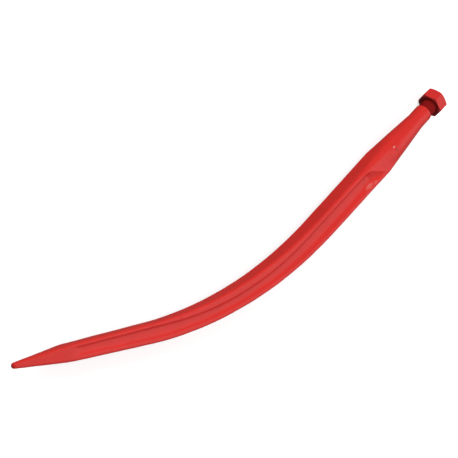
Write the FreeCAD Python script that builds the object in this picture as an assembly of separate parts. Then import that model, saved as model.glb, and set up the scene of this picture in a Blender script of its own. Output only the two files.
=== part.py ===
import FreeCAD, Part
import math
import os

# Curved bale spear for a loader frame, with its retaining nut. Millimetres.
#
# The spear is one forging: a curved blade of rounded rectangular section with a
# fuller (a long groove) in each side, a drawn point, and a root that is turned to
# a cone and threaded. It lies on its side. The origin is the centre of the cone's
# large end, +X runs along the shank towards the blade, the blade curves towards -Y,
# and +Z is square to the plane of the curve.

# ---- overall ----
overall_length = 1100.0        # along the centreline, thread end to point

# ---- turned shank ----
thread_diameter = 28.0
thread_length = 44.5
thread_chamfer = 2.0
neck_diameter = 31.0
neck_length = 27.5
neck_chamfer = 1.5
cone_large_diameter = 44.0
cone_taper = 1.0 / 6.0         # loss of diameter for each unit of length
shoulder_length = 43.0         # over which the round root turns into the blade's section

# ---- centreline ----
root_straight = 230.0          # cone's large end to the start of the bend
bend_angle = 28.3
bend_inner_radius = 880.0      # concave edge
bend_outer_radius = 920.0      # convex edge

# ---- blade: heights lie in the plane of the curve, thicknesses square to it ----
root_height = 41.0
root_thickness = 37.0
bend_end_height = 32.5
point_start_height = 27.5
point_start_thickness = 25.0
point_length = 108.0
point_blend_radius = 250.0
tip_size = 9.0
edge_radius = 4.0

# ---- fullers ----
fuller_root_inner_flange = 7.5     # concave edge to the groove, at the root
fuller_point_inner_flange = 5.5
fuller_outer_flange = 7.0          # convex edge to the groove
fuller_inner_bend_radius = 700.0   # tighter than the blade's own, so the groove swings out in the bend
fuller_root_depth = 5.0
fuller_point_depth = 2.5
fuller_inner_angle = 50.0          # slope of the groove's inner wall from the side face
fuller_outer_angle = 30.0          # slope of its outer wall
fuller_root_angle = 20.0           # slope of the ramp at its root end
fuller_point_angle = 10.0          # slope of the ramp at its point end
fuller_root_gap = 11.0             # shoulder to the corner of the groove's end
fuller_root_slant = 35.0           # how much further the end reaches at the convex edge
fuller_root_corner = 30.0          # radius of the root end's inner corner
fuller_root_spur = 3.0             # radius of the root end's outer corner
fuller_point_corner = 4.0          # radius of the point end's corners
fuller_point_gap = 8.0             # groove's end to the start of the point

# ---- nut ----
nut_across_flats = 41.0
nut_height = 23.5
nut_chamfer_angle = 30.0
nut_washer_face = 39.0         # diameter left flat inside the corner chamfers
nut_bore_chamfer = 1.5
thread_clearance = 0.15        # radial, nut bore over the thread
thread_projection = 2.5        # thread end past the nut's outer face

# ---- worked out from the sizes above ----
cone_length = (cone_large_diameter - neck_diameter) / cone_taper
cone_start = -cone_length
neck_start = cone_start - neck_length
thread_start = neck_start - thread_length
reach = overall_length + thread_start
bend = math.radians(bend_angle)
bend_radius = (bend_inner_radius + bend_outer_radius) / 2
bend_end = root_straight + bend_radius * bend
point_start = reach - point_length
fuller_start = shoulder_length + fuller_root_gap
fuller_end = point_start - fuller_point_gap
overrun = 3.0                  # how far a cutting shape passes the surface it cuts
fuller_lead = 0.5              # the same for the fuller's cutter, whose end ramps are shallow
edge_angle = math.radians(20)  # faces that turn by more than this meet at a sharp edge

ORIGIN = FreeCAD.Vector(0, 0, 0)
X_AXIS = FreeCAD.Vector(1, 0, 0)
Y_AXIS = FreeCAD.Vector(0, 1, 0)
Z_AXIS = FreeCAD.Vector(0, 0, 1)
run_direction = FreeCAD.Vector(math.cos(bend), -math.sin(bend), 0)
run_inward = run_direction.cross(Z_AXIS)
bend_corner = X_AXIS * (root_straight + bend_radius * math.tan(bend / 2))
run_origin = bend_corner + run_direction * (bend_radius * math.tan(bend / 2) - bend_end)


def on_run(s, inward=0.0):
    """A place on the straight run behind the point, at length s along the centreline."""
    return run_origin + run_direction * s + run_inward * inward


def meet(point_a, along_a, point_b, along_b):
    """Where two lines in the plane of the curve cross."""
    gap = point_b - point_a
    share = gap.cross(along_b).z / along_a.cross(along_b).z
    return point_a + along_a * share


def inset(corners, distances):
    """Closed polygon, anticlockwise seen along -Z, with each side moved in by its own distance."""
    moved = []
    for start, end, distance in zip(corners, corners[1:] + corners[:1], distances):
        along = (end - start).normalize()
        moved.append((start + Z_AXIS.cross(along) * distance, along))
    return [meet(*before, *after) for before, after in zip(moved[-1:] + moved[:-1], moved)]


def rounded_wire(corners, radii):
    """Closed outline of straight sides with an arc at each corner that has a radius."""
    stops = []
    for index, (corner, radius) in enumerate(zip(corners, radii)):
        arriving = (corner - corners[index - 1]).normalize()
        leaving = (corners[(index + 1) % len(corners)] - corner).normalize()
        turn = arriving.getAngle(leaving)
        cut_back = radius * math.tan(turn / 2)
        start = corner - arriving * cut_back
        end = corner + leaving * cut_back
        middle = corner + (leaving - arriving).normalize() * radius * (1 / math.cos(turn / 2) - 1)
        stops.append((start, middle, end, radius))
    edges = []
    for stop, following in zip(stops, stops[1:] + stops[:1]):
        if stop[3] > 0:
            edges.append(Part.Arc(*stop[:3]).toShape())
        edges.append(Part.LineSegment(stop[2], following[0]).toShape())
    return Part.Wire(edges)


def turned_polygon(profile):
    """Solid of revolution about X from the corners of half its section, each x and radius."""
    points = [FreeCAD.Vector(x, 0, radius) for x, radius in profile]
    return Part.Face(Part.makePolygon(points + points[:1])).revolve(ORIGIN, X_AXIS, 360)


# ---- blade ----

def flank_corner(root_offset, run_offset, point_offset):
    """Where a flank's root line meets its run line, both given by offsets to the inside."""
    run_start = on_run(bend_end, run_offset)
    run_along = on_run(point_start, point_offset) - run_start
    return meet(FreeCAD.Vector(0, -root_offset, 0), X_AXIS, run_start, run_along)


def blade_outline():
    """The blade in the plane of the curve."""
    root = root_height / 2
    run = bend_end_height / 2
    point = point_start_height / 2
    tip = tip_size / 2
    corners = [
        FreeCAD.Vector(0, -root, 0),
        flank_corner(root, run, point),
        on_run(point_start, point),
        on_run(reach, tip),
        on_run(reach, -tip),
        on_run(point_start, -point),
        flank_corner(-root, -run, -point),
        FreeCAD.Vector(0, root, 0),
    ]
    bends = [0, bend_inner_radius, point_blend_radius, 0, 0, point_blend_radius, bend_outer_radius, 0]
    return rounded_wire(corners, bends)


def side_outline():
    """The blade seen along Y: thickness against X, with the point's wedge drawn out to its edge."""
    root = root_thickness / 2
    point = point_start_thickness / 2
    point_x = on_run(point_start).x
    tip_x = on_run(reach).x
    wedge_x = meet(
        FreeCAD.Vector(point_x, point, 0),
        FreeCAD.Vector(tip_x - point_x, tip_size / 2 - point, 0),
        ORIGIN,
        X_AXIS,
    ).x
    corners = [
        FreeCAD.Vector(0, -root, 0),
        FreeCAD.Vector(point_x, -point, 0),
        FreeCAD.Vector(wedge_x, 0, 0),
        FreeCAD.Vector(point_x, point, 0),
        FreeCAD.Vector(0, root, 0),
    ]
    return rounded_wire(corners, [0, point_blend_radius, 0, point_blend_radius, 0])


def sharp_edges(solid):
    """Edges where two faces meet at an angle, leaving out those of the root end."""
    found = []
    for edge in solid.Edges:
        middle = edge.valueAt((edge.FirstParameter + edge.LastParameter) / 2)
        faces = solid.ancestorsOfType(edge, Part.Face)
        normals = [face.normalAt(*face.Surface.parameter(middle)) for face in faces]
        if middle.x > overrun and normals[0].getAngle(normals[1]) > edge_angle:
            found.append(edge)
    return found


def forged_blade():
    """Blade with rounded edges: its plan and its side view, each drawn square, in common."""
    plan = Part.Face(blade_outline()).extrude(Z_AXIS * root_thickness)
    plan.translate(Z_AXIS * -root_thickness / 2)
    side = Part.Face(side_outline()).rotate(ORIGIN, X_AXIS, 90).extrude(Y_AXIS * 2 * reach)
    side.translate(Y_AXIS * -reach)
    blade = plan.common(side)
    return blade.makeFillet(edge_radius, sharp_edges(blade))


# ---- fullers ----

def fuller_corners():
    """Corners of the groove's edge on the side face, slanting at the root end."""
    root = root_height / 2
    run = bend_end_height / 2
    point = point_start_height / 2
    inner = fuller_root_inner_flange
    outer = fuller_outer_flange
    root_inner = FreeCAD.Vector(fuller_start + fuller_root_slant, inner - root, 0)
    root_outer = FreeCAD.Vector(fuller_start, root - outer, 0)
    point_inner = on_run(point_start, point - fuller_point_inner_flange)
    point_outer = on_run(point_start, outer - point)
    run_along = on_run(point_start, point) - on_run(bend_end, run)
    bend_inner = meet(root_inner, X_AXIS, point_inner, run_along)
    bend_outer = flank_corner(outer - root, outer - run, outer - point)
    across_end = (on_run(fuller_end), run_inward)
    end_inner = meet(bend_inner, point_inner - bend_inner, *across_end)
    end_outer = meet(bend_outer, point_outer - bend_outer, *across_end)
    return [root_inner, bend_inner, end_inner, end_outer, bend_outer, root_outer]


def fuller_level(depth):
    """Outline of the groove at a depth under the side face, or over it where depth is negative."""
    slopes = [fuller_inner_angle, fuller_inner_angle, fuller_point_angle]
    slopes += [fuller_outer_angle, fuller_outer_angle, fuller_root_angle]
    insets = [depth / math.tan(math.radians(slope)) for slope in slopes]
    radii = [fuller_root_corner, fuller_inner_bend_radius, fuller_point_corner]
    radii += [fuller_point_corner, bend_outer_radius - fuller_outer_flange, fuller_root_spur]
    wire = rounded_wire(inset(fuller_corners(), insets), radii)
    wire.translate(Z_AXIS * -depth)
    return wire


def fuller_cutter():
    """What is pressed out of the upper side: sloped walls and a floor that rises to the point."""
    walls = Part.makeLoft([fuller_level(fuller_root_depth), fuller_level(-fuller_lead)], True, True)
    below = Part.makePolygon([
        FreeCAD.Vector(fuller_start, -reach, -fuller_root_depth),
        FreeCAD.Vector(on_run(fuller_end).x, -reach, -fuller_point_depth),
        FreeCAD.Vector(reach, -reach, -fuller_root_depth),
        FreeCAD.Vector(fuller_start, -reach, -fuller_root_depth),
    ])
    cutter = walls.cut(Part.Face(below).extrude(Y_AXIS * 2 * reach))
    side_slope = (root_thickness - point_start_thickness) / 2 / on_run(point_start).x
    cutter.rotate(ORIGIN, Y_AXIS, math.degrees(math.atan(side_slope)))
    cutter.translate(Z_AXIS * root_thickness / 2)
    return cutter


# ---- turned shank ----

def turned_shank():
    """Thread, neck and cone."""
    return turned_polygon([
        (thread_start, 0),
        (thread_start, thread_diameter / 2 - thread_chamfer),
        (thread_start + thread_chamfer, thread_diameter / 2),
        (neck_start, thread_diameter / 2),
        (neck_start, neck_diameter / 2 - neck_chamfer),
        (neck_start + neck_chamfer, neck_diameter / 2),
        (cone_start, neck_diameter / 2),
        (0, cone_large_diameter / 2),
        (0, 0),
    ])


def shoulder(blade_root):
    """From the cone's large end, a circle, to the outline of the blade's end face."""
    radius = cone_large_diameter / 2
    arcs = []
    for edge in blade_root.OuterWire.OrderedEdges:
        points = []
        for share in (0, 0.5, 1):
            place = edge.valueAt(edge.FirstParameter + share * (edge.LastParameter - edge.FirstParameter))
            points.append(FreeCAD.Vector(0, place.y, place.z).normalize() * radius)
        arcs.append(Part.Arc(*points).toShape())
    return Part.makeLoft([Part.Wire(arcs), blade_root.OuterWire], True, True)


def make_spear():
    blade = forged_blade().cut(Part.makeBox(
        shoulder_length + overrun,
        2 * root_height,
        2 * root_height,
        FreeCAD.Vector(-overrun, -root_height, -root_height),
    ))
    blade_root = min(blade.Faces, key=lambda face: face.CenterOfMass.x)
    spear = turned_shank().fuse(shoulder(blade_root)).fuse(blade)
    upper = fuller_cutter()
    lower = upper.mirror(ORIGIN, Z_AXIS)
    return spear.cut(upper).cut(lower).removeSplitter()


# ---- nut ----

def make_nut():
    outer_face = thread_start + thread_projection
    inner_face = outer_face + nut_height
    corner_radius = nut_across_flats / math.sqrt(3)
    corners = [math.radians(60 * number) for number in range(7)]
    hexagon = Part.makePolygon([
        FreeCAD.Vector(outer_face, corner_radius * math.cos(a), corner_radius * math.sin(a))
        for a in corners
    ])
    blank = Part.Face(hexagon).extrude(X_AXIS * nut_height)
    chamfer_radius = corner_radius + overrun
    chamfer_run = (chamfer_radius - nut_washer_face / 2) * math.tan(math.radians(nut_chamfer_angle))
    envelope = turned_polygon([
        (outer_face, 0),
        (outer_face, nut_washer_face / 2),
        (outer_face + chamfer_run, chamfer_radius),
        (inner_face - chamfer_run, chamfer_radius),
        (inner_face, nut_washer_face / 2),
        (inner_face, 0),
    ])
    bore_radius = thread_diameter / 2 + thread_clearance
    bore = turned_polygon([
        (outer_face - overrun, 0),
        (outer_face - overrun, bore_radius + nut_bore_chamfer + overrun),
        (outer_face + nut_bore_chamfer, bore_radius),
        (inner_face - nut_bore_chamfer, bore_radius),
        (inner_face + overrun, bore_radius + nut_bore_chamfer + overrun),
        (inner_face + overrun, 0),
    ])
    return blank.common(envelope).cut(bore)


os.makedirs("parts", exist_ok=True)
for name, shape in (("spear", make_spear()), ("nut", make_nut())):
    solid = shape.Solids[0]
    print(name, len(shape.Solids), solid.isValid(), round(solid.Volume), solid.BoundBox)
    solid.exportStep("parts/" + name + ".step")
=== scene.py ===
import math

import bmesh
import bpy
import numpy as np
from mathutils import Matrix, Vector, noise


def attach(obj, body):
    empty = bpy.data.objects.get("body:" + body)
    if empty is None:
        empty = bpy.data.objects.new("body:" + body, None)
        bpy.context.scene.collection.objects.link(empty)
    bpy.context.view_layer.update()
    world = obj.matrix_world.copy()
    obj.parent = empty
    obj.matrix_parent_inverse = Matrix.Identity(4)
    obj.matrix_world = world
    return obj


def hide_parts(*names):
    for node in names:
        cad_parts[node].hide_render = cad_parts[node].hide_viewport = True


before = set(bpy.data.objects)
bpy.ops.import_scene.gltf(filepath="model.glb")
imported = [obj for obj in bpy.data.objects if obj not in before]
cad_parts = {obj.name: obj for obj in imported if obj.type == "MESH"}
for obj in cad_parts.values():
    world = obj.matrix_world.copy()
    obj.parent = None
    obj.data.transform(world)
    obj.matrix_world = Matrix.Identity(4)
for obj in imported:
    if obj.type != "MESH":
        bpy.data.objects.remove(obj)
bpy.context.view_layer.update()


# ---- paint: shared effects -------------------------------------------------
# One thick coat of red machinery enamel, dipped or sprayed over scaly forged
# steel, so its colour drifts softly and its surface keeps a fine grain.

mottle = bpy.data.node_groups.new("paint_mottle", "ShaderNodeTree")
mottle.interface.new_socket("Colour", in_out="INPUT", socket_type="NodeSocketColor")
mottle.interface.new_socket("Drift", in_out="INPUT", socket_type="NodeSocketFloat")
mottle.interface.new_socket("Grain", in_out="INPUT", socket_type="NodeSocketFloat")
mottle.interface.new_socket("Colour", in_out="OUTPUT", socket_type="NodeSocketColor")
mottle.interface.new_socket("Height", in_out="OUTPUT", socket_type="NodeSocketFloat")
nodes = mottle.nodes
links = mottle.links
group_in = nodes.new("NodeGroupInput")
group_out = nodes.new("NodeGroupOutput")
where = nodes.new("ShaderNodeTexCoord")
broad = nodes.new("ShaderNodeTexNoise")
broad.inputs["Scale"].default_value = 22.0
broad.inputs["Detail"].default_value = 3.0
fine = nodes.new("ShaderNodeTexNoise")
fine.inputs["Scale"].default_value = 190.0
fine.inputs["Detail"].default_value = 4.0
for texture in (broad, fine):
    links.new(where.outputs["Object"], texture.inputs["Vector"])
blend = nodes.new("ShaderNodeMix")
blend.data_type = "FLOAT"
blend.inputs["Factor"].default_value = 0.4
links.new(broad.outputs["Fac"], blend.inputs[2])
links.new(fine.outputs["Fac"], blend.inputs[3])
centred = nodes.new("ShaderNodeMath")
centred.operation = "SUBTRACT"
centred.inputs[1].default_value = 0.5
links.new(blend.outputs[0], centred.inputs[0])
scaled = nodes.new("ShaderNodeMath")
scaled.operation = "MULTIPLY"
links.new(centred.outputs[0], scaled.inputs[0])
links.new(group_in.outputs["Drift"], scaled.inputs[1])
lifted = nodes.new("ShaderNodeMath")
lifted.operation = "ADD"
lifted.inputs[1].default_value = 1.0
links.new(scaled.outputs[0], lifted.inputs[0])
tinted = nodes.new("ShaderNodeHueSaturation")
links.new(lifted.outputs[0], tinted.inputs["Value"])
links.new(group_in.outputs["Colour"], tinted.inputs["Color"])
links.new(tinted.outputs["Color"], group_out.inputs["Colour"])
grained = nodes.new("ShaderNodeMath")
grained.operation = "MULTIPLY"
links.new(fine.outputs["Fac"], grained.inputs[0])
links.new(group_in.outputs["Grain"], grained.inputs[1])
links.new(grained.outputs[0], group_out.inputs["Height"])


def paint(name, colour, drift, grain, roughness):
    """A red enamel: the shared mottle over one base colour, with its grain as a bump."""
    material = bpy.data.materials.new(name)
    material.use_nodes = True
    tree = material.node_tree
    shader = tree.nodes["Principled BSDF"]
    shader.inputs["Roughness"].default_value = roughness
    shader.inputs["Specular IOR Level"].default_value = 0.5
    look = tree.nodes.new("ShaderNodeGroup")
    look.node_tree = mottle
    look.inputs["Colour"].default_value = (*colour, 1.0)
    look.inputs["Drift"].default_value = drift
    look.inputs["Grain"].default_value = grain
    bump = tree.nodes.new("ShaderNodeBump")
    bump.inputs["Distance"].default_value = 0.0004
    bump.inputs["Strength"].default_value = 0.6
    tree.links.new(look.outputs["Colour"], shader.inputs["Base Color"])
    tree.links.new(look.outputs["Height"], bump.inputs["Height"])
    tree.links.new(bump.outputs["Normal"], shader.inputs["Normal"])
    return material


# ---- spear -------------------------------------------------------------------
# Forged from one bar of steel in closed dies: a curved blade with a fuller in
# each side, drawn to a point, with the root turned to a cone. Lengths in mm
# along the centreline from the cone's large end, then scaled to metres.

bend_start = 230.0
bend_radius = 900.0
bend_angle = math.radians(28.3)
bend_end = bend_start + bend_radius * bend_angle
reach = 950.0
point_start = 842.0
root_half_height = 20.5
bend_half_height = 16.25
point_half_height = 13.75
root_half_thickness = 18.5
point_half_thickness = 12.5
tip_half = 4.5
edge_radius = 4.0
shoulder_edge_radius = 11.0      # upper edge on the concave side, beside the shoulder
shoulder_edge_fade = [60.0, 125.0]
crease = 0.7                     # over which two surfaces run into each other

cone_radius = 22.0
cone_slope = 12.0                # length over which the radius falls by one
neck_radius = 15.5
neck_rim = -104.0                # where the chamfer of the neck's end starts
neck_end = -105.5
shoulder_end = 43.0


def smooth_min(a, b, width):
    """The smaller of two values, with the change from one to the other rounded off."""
    share = np.clip(0.5 + 0.5 * (b - a) / width, 0.0, 1.0)
    return b + (a - b) * share - width * share * (1.0 - share)


def smooth_max(a, b, width):
    """The larger of two values, rounded off in the same way."""
    return -smooth_min(-a, -b, width)


def centre_line(s):
    """Position in the plane of the curve, and direction, at length s."""
    turned = np.clip((s - bend_start) / bend_radius, 0.0, bend_angle)
    x = np.minimum(s, bend_start) + bend_radius * np.sin(turned)
    y = -bend_radius * (1.0 - np.cos(turned))
    beyond = np.maximum(s - bend_end, 0.0)
    return x + beyond * math.cos(bend_angle), y - beyond * math.sin(bend_angle), turned


def half_height(s):
    """Half the blade's height in the plane of the curve, at length s."""
    heights = [root_half_height, bend_half_height, point_half_height]
    body = np.interp(s, [bend_start, bend_end, point_start], heights)
    drawn = point_half_height - (s - point_start) * (point_half_height - tip_half) / (reach - point_start)
    return smooth_min(body, drawn, crease)


def half_thickness(x):
    """Half the blade's thickness, which the dies taper along x and not along the curve."""
    point_x = centre_line(np.array(point_start))[0]
    tip_x = centre_line(np.array(reach))[0]
    body = root_half_thickness - (root_half_thickness - point_half_thickness) * x / point_x
    drawn = point_half_thickness - (x - point_x) * (point_half_thickness - tip_half) / (tip_x - point_x)
    return smooth_min(body, drawn, crease)


# The fuller's wall on the concave side is a straight, an arc of its own and a
# straight; the other wall follows the blade's edge. Its root end is a slanted
# scoop with a round corner and a low lip, its point end a long ramp.

groove_start = 54.0
groove_end = 834.0
groove_inner = 13.0              # from the centreline to the concave-side wall, at the root
groove_point_inner = 8.25        # the same at the point
groove_bend = 700.0
groove_flange = 7.0              # left standing on the convex side
groove_wall = math.tan(math.radians(50.0))
groove_far_wall = math.tan(math.radians(30.0))
groove_point_ramp = math.tan(math.radians(10.0))
slant_along = 0.6036             # direction square to the slanted root end
slant_across = 0.7973
corner_radius = 30.0
corner_place = 99.1              # of the corner's centre along the blade
scoop_run = 16.0
scoop_depth = 6.2
floor_places = [groove_start, 95.0, 150.0, groove_end]
floor_depths = [scoop_depth, 6.0, 4.7, 2.5]
wall_join = 1.2                  # widths over which walls, ramp and floor run together
ramp_join = 1.0
floor_join = 1.8
lip_height = 0.4
lip_width = 1.9
lip_offset = 0.6
lip_places = [48.0, 56.0, 96.0, 125.0]
lip_shares = [0.0, 1.0, 1.0, 0.0]
root_mark = 50.0                 # nothing of the groove is worked nearer the cone

groove_turn = bend_angle - math.atan2(bend_half_height - point_half_height, point_start - bend_end)
run_x, run_y, _ = centre_line(np.array(point_start))
run_normal = np.array([math.sin(groove_turn), math.cos(groove_turn)])
run_point = np.array([
    run_x - groove_point_inner * math.sin(bend_angle),
    run_y - groove_point_inner * math.cos(bend_angle),
])
groove_centre_y = -groove_inner - groove_bend
groove_centre_x = (run_point @ run_normal - groove_bend - groove_centre_y * run_normal[1]) / run_normal[0]


def scoop(inside):
    """Depth at a distance inside the root rim: steep at the rim, then easing into the floor."""
    run = np.clip(inside / scoop_run, -0.3, 1.0)
    return scoop_depth * (1.6 * run - 0.6 * run * np.abs(run))


def groove_depth(s, n, x, y, a):
    """Depth of the fuller below the side face, and the lip that the die left at its root."""
    turned = np.clip(np.arctan2(x - groove_centre_x, y - groove_centre_y), 0.0, groove_turn)
    inner = (x - groove_centre_x) * np.sin(turned) + (y - groove_centre_y) * np.cos(turned) - groove_bend
    slant = slant_along * (s - groove_start) - slant_across * (n + root_half_height - groove_flange)
    from_s = s - corner_place
    from_n = n + corner_radius - groove_inner
    angle = np.arctan2(-from_s, from_n) / math.atan2(slant_along, slant_across)
    round_inside = corner_radius - np.hypot(from_s, from_n)
    share = np.clip(angle, 0.0, 1.0)
    corner = (1.0 - share) * round_inside * groove_wall + share * scoop(round_inside)
    at_corner = (angle > 0.0) & (angle < 1.0) & (from_n > 0.0)
    near = np.where(at_corner, corner, np.minimum(inner * groove_wall, scoop(slant)))
    rim = np.where(at_corner, round_inside, np.minimum(inner, slant))
    lip = lip_height * np.exp(-((rim + lip_offset) / lip_width) ** 2)
    lip = lip * np.interp(s, lip_places, lip_shares)
    outer = (n + a - groove_flange) * groove_far_wall
    point_end = (groove_end - s) * groove_point_ramp
    floor = np.interp(s, floor_places, floor_depths)
    walls = smooth_min(near, outer, wall_join)
    sunk = smooth_min(walls, smooth_min(floor, point_end, ramp_join), floor_join)
    return smooth_max(sunk, np.zeros_like(sunk), crease), lip


# The skin is rings of points, each a rounded rectangle met by rays from the
# centreline, closer together where the shape changes faster.

ring = 168
side_points = np.linspace(0.0, 1.0, ring // 4, endpoint=False)
flat_side = np.ones(ring // 4)
box_n = np.concatenate([1 - 2 * side_points, -flat_side, 2 * side_points - 1, flat_side])
box_z = np.concatenate([flat_side, 1 - 2 * side_points, -flat_side, 2 * side_points - 1])
ray_length = np.hypot(box_n * root_half_height, box_z * root_half_thickness)
ray_n = box_n * root_half_height / ray_length
ray_z = box_z * root_half_thickness / ray_length

stations = np.concatenate([
    [neck_end, neck_end + 0.1],
    np.linspace(neck_rim, -79.0, 18),
    np.linspace(-78.0, -1.0, 52),
    np.linspace(0.0, 120.0, 121),
    np.linspace(122.5, 805.0, 232),
    np.linspace(807.0, 946.0, 94),
    reach - edge_radius + edge_radius * np.sin(np.radians([15.0, 30.0, 45.0, 60.0, 75.0, 85.0])),
])


def section(s):
    """Offsets of one ring of the skin, towards the inside of the bend and up."""
    a = half_height(s)
    x, y, turned = centre_line(s)
    b = half_thickness(x)
    nose = max(s - (reach - edge_radius), 0.0)
    drop = edge_radius - math.sqrt(edge_radius ** 2 - nose ** 2)
    a = a - drop
    shoulder_radius = np.interp(s, shoulder_edge_fade, [shoulder_edge_radius, edge_radius])
    radius = np.where((box_n > 0.0) & (box_z > 0.0), shoulder_radius, edge_radius) - drop
    radius = np.maximum(radius, 0.2)
    for _ in range(2):
        flat = np.minimum(a / np.maximum(np.abs(ray_n), 1e-9), b / np.maximum(np.abs(ray_z), 1e-9))
        along = np.abs(ray_n) * (a - radius) + np.abs(ray_z) * (b - radius)
        spare = along ** 2 - (a - radius) ** 2 - (b - radius) ** 2 + radius ** 2
        round_reach = along + np.sqrt(np.maximum(spare, 0.0))
        corner = (flat * np.abs(ray_n) > a - radius) & (flat * np.abs(ray_z) > b - radius)
        distance = np.where(corner, round_reach, flat)
        offset = distance * ray_n
        b = half_thickness(x + offset * -math.sin(turned)) - drop
    if s < shoulder_end:
        distance = cone_radius + (distance - cone_radius) * max(s, 0.0) / shoulder_end
    if s < 0.0:
        turned_radius = max(cone_radius + s / cone_slope, neck_radius)
        distance = np.full(ring, turned_radius - max(neck_rim - s, 0.0))
    n = distance * ray_n
    z = distance * ray_z
    if s > root_mark:
        depth, lip = groove_depth(s, n, x - n * math.sin(turned), y - n * math.cos(turned), a)
        z = np.sign(z) * (np.minimum(np.abs(z), b - depth) + lip)
    return n, z


swell_depth = 0.26
pit_depth = 0.45


def unevenness(place, s):
    """How far the scaled, forged surface lies under the dies' true form; the turned root is truer."""
    swell = noise.noise(place * 0.021) + 0.5 * noise.noise(place * 0.055 + Vector((40.0, 0.0, 0.0)))
    pits = max(noise.noise(place * 0.19 + Vector((0.0, 80.0, 0.0))) - 0.25, 0.0)
    roughness = float(np.interp(s, [-5.0, 40.0], [0.15, 1.0]))
    return roughness * (swell_depth * max(swell + 0.7, 0.0) + pit_depth * pits)


vertices = []
for s in stations:
    n, z = section(s)
    x, y, turned = centre_line(s)
    xs = x - n * math.sin(turned)
    ys = y - n * math.cos(turned)
    size = np.maximum(np.hypot(n, z), 0.1)
    for place, out_n, out_z in zip(zip(xs, ys, z), n / size, z / size):
        place = Vector(place)
        outward = Vector((-out_n * math.sin(turned), -out_n * math.cos(turned), out_z))
        vertices.append(place - outward * unevenness(place, s))
faces = []
for row in range(len(stations) - 1):
    for column in range(ring):
        here = row * ring + column
        side = row * ring + (column + 1) % ring
        faces.append((here, side, side + ring, here + ring))
root_cap = len(vertices)
vertices.append(Vector((neck_end, 0.0, 0.0)))
x, y, turned = centre_line(reach)
tip_cap = len(vertices)
vertices.append(Vector((x, y, 0.0)))
last = (len(stations) - 1) * ring
for column in range(ring):
    side = (column + 1) % ring
    faces.append((root_cap, side, column))
    faces.append((tip_cap, last + column, last + side))
mesh = bpy.data.meshes.new("spear_forging")
mesh.from_pydata([place * 0.001 for place in vertices], [], faces)
cleaned = bmesh.new()
cleaned.from_mesh(mesh)
bmesh.ops.remove_doubles(cleaned, verts=cleaned.verts, dist=1e-6)
bmesh.ops.recalc_face_normals(cleaned, faces=cleaned.faces)
cleaned.to_mesh(mesh)
cleaned.free()
mesh.shade_smooth()
mesh.set_sharp_from_angle(angle=math.radians(40))
spear = bpy.data.objects.new("spear_forging", mesh)
bpy.context.collection.objects.link(spear)

# Two pale patches near the fuller's root end are a painted highlight; at the cone's
# end there are a pale speck and a dark streak. Each mark is an ellipsoid in metres,
# with an edge made ragged by fine noise.

spear_paint = paint("red_enamel", (0.73, 0.020, 0.014), 0.3, 1.0, 0.35)
tree = spear_paint.node_tree
shader = tree.nodes["Principled BSDF"]
where = tree.nodes.new("ShaderNodeTexCoord")
break_up = tree.nodes.new("ShaderNodeTexNoise")
break_up.inputs["Scale"].default_value = 260.0
tree.links.new(where.outputs["Object"], break_up.inputs["Vector"])
marks_and_highlights = [      # centre, size, colour
    # a pale speck and a dark streak at the cone's end
    ((0.0135, -0.0095, 0.0198), (0.0024, 0.0020, 0.004), (0.85, 0.42, 0.38)),
    ((0.0120, -0.0030, 0.0200), (0.0020, 0.0050, 0.004), (0.34, 0.020, 0.016)),
    # two pale patches by the fuller's root end: a painted highlight
    ((0.1010, 0.0095, 0.0150), (0.0130, 0.0042, 0.006), (0.76, 0.115, 0.100)),
    ((0.0850, 0.0125, 0.0150), (0.0075, 0.0034, 0.006), (0.76, 0.100, 0.088)),
]
for centre, size, colour in marks_and_highlights:
    offset = tree.nodes.new("ShaderNodeVectorMath")
    offset.operation = "SUBTRACT"
    offset.inputs[1].default_value = centre
    tree.links.new(where.outputs["Object"], offset.inputs[0])
    shrunk = tree.nodes.new("ShaderNodeVectorMath")
    shrunk.operation = "DIVIDE"
    shrunk.inputs[1].default_value = size
    tree.links.new(offset.outputs[0], shrunk.inputs[0])
    span = tree.nodes.new("ShaderNodeVectorMath")
    span.operation = "LENGTH"
    tree.links.new(shrunk.outputs[0], span.inputs[0])
    ragged = tree.nodes.new("ShaderNodeMath")
    ragged.operation = "ADD"
    tree.links.new(span.outputs["Value"], ragged.inputs[0])
    tree.links.new(break_up.outputs["Fac"], ragged.inputs[1])
    patch = tree.nodes.new("ShaderNodeMapRange")
    patch.interpolation_type = "SMOOTHSTEP"
    patch.inputs["From Min"].default_value = 1.55
    patch.inputs["From Max"].default_value = 0.85
    tree.links.new(ragged.outputs[0], patch.inputs["Value"])
    mark_and_highlight_mix = tree.nodes.new("ShaderNodeMix")
    mark_and_highlight_mix.data_type = "RGBA"
    mark_and_highlight_mix.inputs[7].default_value = (*colour, 1.0)
    tree.links.new(patch.outputs["Result"], mark_and_highlight_mix.inputs["Factor"])
    tree.links.new(shader.inputs["Base Color"].links[0].from_socket, mark_and_highlight_mix.inputs[6])
    tree.links.new(mark_and_highlight_mix.outputs[2], shader.inputs["Base Color"])
spear.data.materials.append(spear_paint)
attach(spear, "root")
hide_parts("spear")

# ---- thread ------------------------------------------------------------------
# M28 x 1.5 thread rolled on the end of the shank, right-handed, with a chamfered
# start. Between nut and neck it is painted dark and dull: painted shade for that recess.

thread_tree = bpy.data.node_groups.new("thread_form", "GeometryNodeTree")
thread_tree.is_modifier = True
face = thread_tree.interface
face.new_socket("Geometry", in_out="INPUT", socket_type="NodeSocketGeometry")
for label in ("Start", "Length", "Diameter", "Pitch", "Depth", "Chamfer"):
    face.new_socket(label, in_out="INPUT", socket_type="NodeSocketFloat")
face.new_socket("Material", in_out="INPUT", socket_type="NodeSocketMaterial")
face.new_socket("Geometry", in_out="OUTPUT", socket_type="NodeSocketGeometry")
nodes = thread_tree.nodes
links = thread_tree.links
given = nodes.new("NodeGroupInput")


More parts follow.
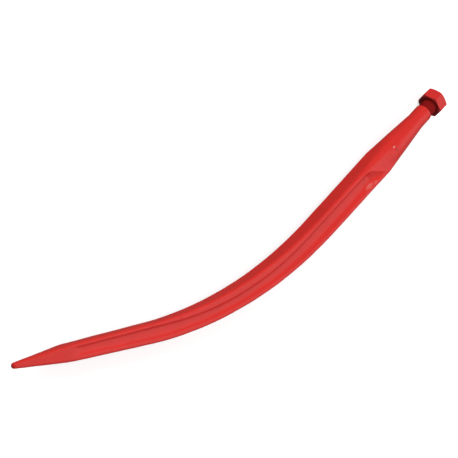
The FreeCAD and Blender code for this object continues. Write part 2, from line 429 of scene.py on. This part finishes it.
def calc(operation, first, second=None):
    """One math node of the thread's tree, fed by sockets or by plain numbers."""
    node = nodes.new("ShaderNodeMath")
    node.operation = operation
    for socket, value in zip(node.inputs, (first, second)):
        if isinstance(value, float):
            socket.default_value = value
        elif value is not None:
            links.new(value, socket)
    return node.outputs[0]


bar = nodes.new("GeometryNodeMeshCylinder")
bar.fill_type = "TRIANGLE_FAN"
bar.inputs["Vertices"].default_value = 64
bar.inputs["Side Segments"].default_value = 260
bar.inputs["Radius"].default_value = 1.0
bar.inputs["Depth"].default_value = 1.0
place = nodes.new("ShaderNodeSeparateXYZ")
links.new(nodes.new("GeometryNodeInputPosition").outputs["Position"], place.inputs[0])
along = calc("MULTIPLY", calc("ADD", place.outputs["Z"], 0.5), given.outputs["Length"])
turn = calc("DIVIDE", calc("ARCTAN2", place.outputs["Y"], place.outputs["X"]), 2.0 * math.pi)
phase = calc("FRACT", calc("SUBTRACT", calc("DIVIDE", along, given.outputs["Pitch"]), turn))
ridge = calc("ABSOLUTE", calc("SUBTRACT", calc("MULTIPLY", phase, 2.0), 1.0))
crest = calc("DIVIDE", given.outputs["Diameter"], 2.0)
flank = calc("SUBTRACT", crest, calc("MULTIPLY", ridge, given.outputs["Depth"]))
bevel = calc("ADD", calc("SUBTRACT", crest, given.outputs["Chamfer"]), along)
radius = calc("MINIMUM", flank, bevel)
moved = nodes.new("ShaderNodeCombineXYZ")
links.new(calc("ADD", along, given.outputs["Start"]), moved.inputs["X"])
links.new(calc("MULTIPLY", place.outputs["X"], radius), moved.inputs["Y"])
links.new(calc("MULTIPLY", place.outputs["Y"], radius), moved.inputs["Z"])
shaped = nodes.new("GeometryNodeSetPosition")
links.new(bar.outputs["Mesh"], shaped.inputs["Geometry"])
links.new(moved.outputs[0], shaped.inputs["Position"])
real = nodes.new("GeometryNodeRealizeInstances")
links.new(shaped.outputs["Geometry"], real.inputs["Geometry"])
coated = nodes.new("GeometryNodeSetMaterial")
links.new(real.outputs["Geometry"], coated.inputs["Geometry"])
links.new(given.outputs["Material"], coated.inputs["Material"])
links.new(coated.outputs["Geometry"], nodes.new("NodeGroupOutput").inputs["Geometry"])

# A dark red with little gloss: painted shade where nut, neck and cone shade the thread.
thread_shade_paint = paint("thread_enamel_painted_shade", (0.34, 0.010, 0.009), 0.5, 1.0, 0.6)
thread_shade_paint.node_tree.nodes["Principled BSDF"].inputs["Specular IOR Level"].default_value = 0.2
carrier = bpy.data.objects.new("thread_carrier", bpy.data.meshes.new("thread_carrier"))
bpy.context.collection.objects.link(carrier)
modifier = carrier.modifiers.new("thread", "NODES")
modifier.node_group = thread_tree
thread_sizes = {
    "Start": -0.150,
    "Length": 0.045,
    "Diameter": 0.028,
    "Pitch": 0.0015,
    "Depth": 0.00085,
    "Chamfer": 0.002,
    "Material": thread_shade_paint,
}
for item in face.items_tree:
    if item.in_out == "INPUT" and item.name in thread_sizes:
        modifier[item.identifier] = thread_sizes[item.name]
seen = carrier.evaluated_get(bpy.context.evaluated_depsgraph_get())
thread = bpy.data.objects.new("spear_thread", bpy.data.meshes.new_from_object(seen))
bpy.data.objects.remove(carrier)
bpy.context.collection.objects.link(thread)
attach(thread, "root")
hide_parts("spear")

# ---- nut ---------------------------------------------------------------------
# Forged and turned M28 nut, 41 mm across flats, chamfered at both ends. Its outer
# faces keep the plain red; its bearing face behind the cone is darkened with
# painted shade, for the shade that falls there.

painted_shade_span = (-0.1258, -0.1240)   # along the nut, where the painted shade on its bearing face sets in
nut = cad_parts["nut"]
nut_paint = paint("nut_enamel", (0.68, 0.020, 0.016), 0.4, 1.0, 0.4)
tree = nut_paint.node_tree
shader = tree.nodes["Principled BSDF"]
where = tree.nodes.new("ShaderNodeTexCoord")
place = tree.nodes.new("ShaderNodeSeparateXYZ")
tree.links.new(where.outputs["Object"], place.inputs[0])
# Towards the bearing face the red is mixed to a dark red: painted shade.
shade_ramp = tree.nodes.new("ShaderNodeMapRange")
shade_ramp.interpolation_type = "SMOOTHSTEP"
shade_ramp.inputs["From Min"].default_value = painted_shade_span[0]
shade_ramp.inputs["From Max"].default_value = painted_shade_span[1]
tree.links.new(place.outputs["X"], shade_ramp.inputs["Value"])
painted_shade_mix = tree.nodes.new("ShaderNodeMix")
painted_shade_mix.data_type = "RGBA"
painted_shade_mix.inputs[7].default_value = (0.27, 0.008, 0.007, 1.0)
tree.links.new(shade_ramp.outputs["Result"], painted_shade_mix.inputs["Factor"])
tree.links.new(shader.inputs["Base Color"].links[0].from_socket, painted_shade_mix.inputs[6])
tree.links.new(painted_shade_mix.outputs[2], shader.inputs["Base Color"])
nut.data.materials.clear()
nut.data.materials.append(nut_paint)

# ---- floor, light and camera ---------------------------------------------------
# A pale sweep under two softboxes and a dim sky with one brighter window, which
# gives the paint its sheen. The sweep is dark grey to the object, clear from
# below, and white to the camera, where it still takes the object's shadow.

floor_height = -0.0238           # just under the cone, which the spear rests on
floor_mesh = bpy.data.meshes.new("floor")
floor_mesh.from_pydata([(-6, -6, 0), (6, -6, 0), (6, 6, 0), (-6, 6, 0)], [], [(0, 1, 2, 3)])
floor = bpy.data.objects.new("floor", floor_mesh)
floor.location.z = floor_height
bpy.context.collection.objects.link(floor)
white = bpy.data.materials.new("white_sweep")
white.use_nodes = True
tree = white.node_tree
shader = tree.nodes["Principled BSDF"]
shader.inputs["Roughness"].default_value = 1.0
shader.inputs["Specular IOR Level"].default_value = 0.0
rays = tree.nodes.new("ShaderNodeLightPath")
shade = tree.nodes.new("ShaderNodeMix")
shade.data_type = "RGBA"
shade.inputs[6].default_value = (0.2, 0.2, 0.2, 1.0)
shade.inputs[7].default_value = (0.9, 0.9, 0.9, 1.0)
tree.links.new(rays.outputs["Is Camera Ray"], shade.inputs["Factor"])
tree.links.new(shade.outputs[2], shader.inputs["Base Color"])
shader.inputs["Emission Color"].default_value = (1.0, 1.0, 1.0, 1.0)
lift = tree.nodes.new("ShaderNodeMath")
lift.operation = "MULTIPLY"
lift.inputs[1].default_value = 0.5
tree.links.new(rays.outputs["Is Camera Ray"], lift.inputs[0])
tree.links.new(lift.outputs[0], shader.inputs["Emission Strength"])
side = tree.nodes.new("ShaderNodeNewGeometry")
clear = tree.nodes.new("ShaderNodeBsdfTransparent")
seen = tree.nodes.new("ShaderNodeMixShader")
tree.links.new(side.outputs["Backfacing"], seen.inputs["Fac"])
tree.links.new(shader.outputs[0], seen.inputs[1])
tree.links.new(clear.outputs[0], seen.inputs[2])
tree.links.new(seen.outputs[0], tree.nodes["Material Output"].inputs["Surface"])
floor_mesh.materials.append(white)

world = bpy.data.worlds.new("studio")
world.use_nodes = True
tree = world.node_tree
sky = tree.nodes["Background"]
sky.inputs["Color"].default_value = (1.0, 1.0, 1.0, 1.0)
ray = tree.nodes.new("ShaderNodeTexCoord")
toward = tree.nodes.new("ShaderNodeVectorMath")
toward.operation = "DOT_PRODUCT"
toward.inputs[1].default_value = (-0.64, 0.30, 0.71)
tree.links.new(ray.outputs["Generated"], toward.inputs[0])
opening = tree.nodes.new("ShaderNodeMapRange")
opening.interpolation_type = "SMOOTHSTEP"
opening.inputs["From Min"].default_value = 0.86
opening.inputs["From Max"].default_value = 0.985
opening.inputs["To Min"].default_value = 0.3
opening.inputs["To Max"].default_value = 1.0
tree.links.new(toward.outputs["Value"], opening.inputs["Value"])
rays = tree.nodes.new("ShaderNodeLightPath")
seen_white = tree.nodes.new("ShaderNodeMath")
seen_white.operation = "MAXIMUM"
tree.links.new(opening.outputs["Result"], seen_white.inputs[0])
tree.links.new(rays.outputs["Is Camera Ray"], seen_white.inputs[1])
tree.links.new(seen_white.outputs[0], sky.inputs["Strength"])
bpy.context.scene.world = world


def area_lamp(name, place, target, size, power):
    """A square softbox that lights but makes no highlight of its own."""
    data = bpy.data.lights.new(name, "AREA")
    data.energy = power
    data.size = size
    lamp = bpy.data.objects.new(name, data)
    lamp.location = place
    lamp.rotation_euler = (Vector(target) - Vector(place)).to_track_quat("-Z", "Y").to_euler()
    lamp.visible_glossy = False
    bpy.context.collection.objects.link(lamp)


area_lamp("front", (-0.8, -3.4, 2.2), (0.4, -0.05, 0.0), 3.0, 130.0)
area_lamp("back", (0.6, 3.0, 2.6), (0.4, -0.05, 0.0), 3.0, 60.0)

camera_data = bpy.data.cameras.new("camera")
camera_data.sensor_width = 36.0
camera_data.lens = 203.819
camera = bpy.data.objects.new("camera", camera_data)
camera.location = (2.80672, -1.92430, 2.91099)
camera.rotation_euler = (-0.00638171, -0.80020429, 2.50753202)
bpy.context.collection.objects.link(camera)
bpy.context.scene.camera = camera
bpy.context.scene.view_settings.view_transform = "Standard"
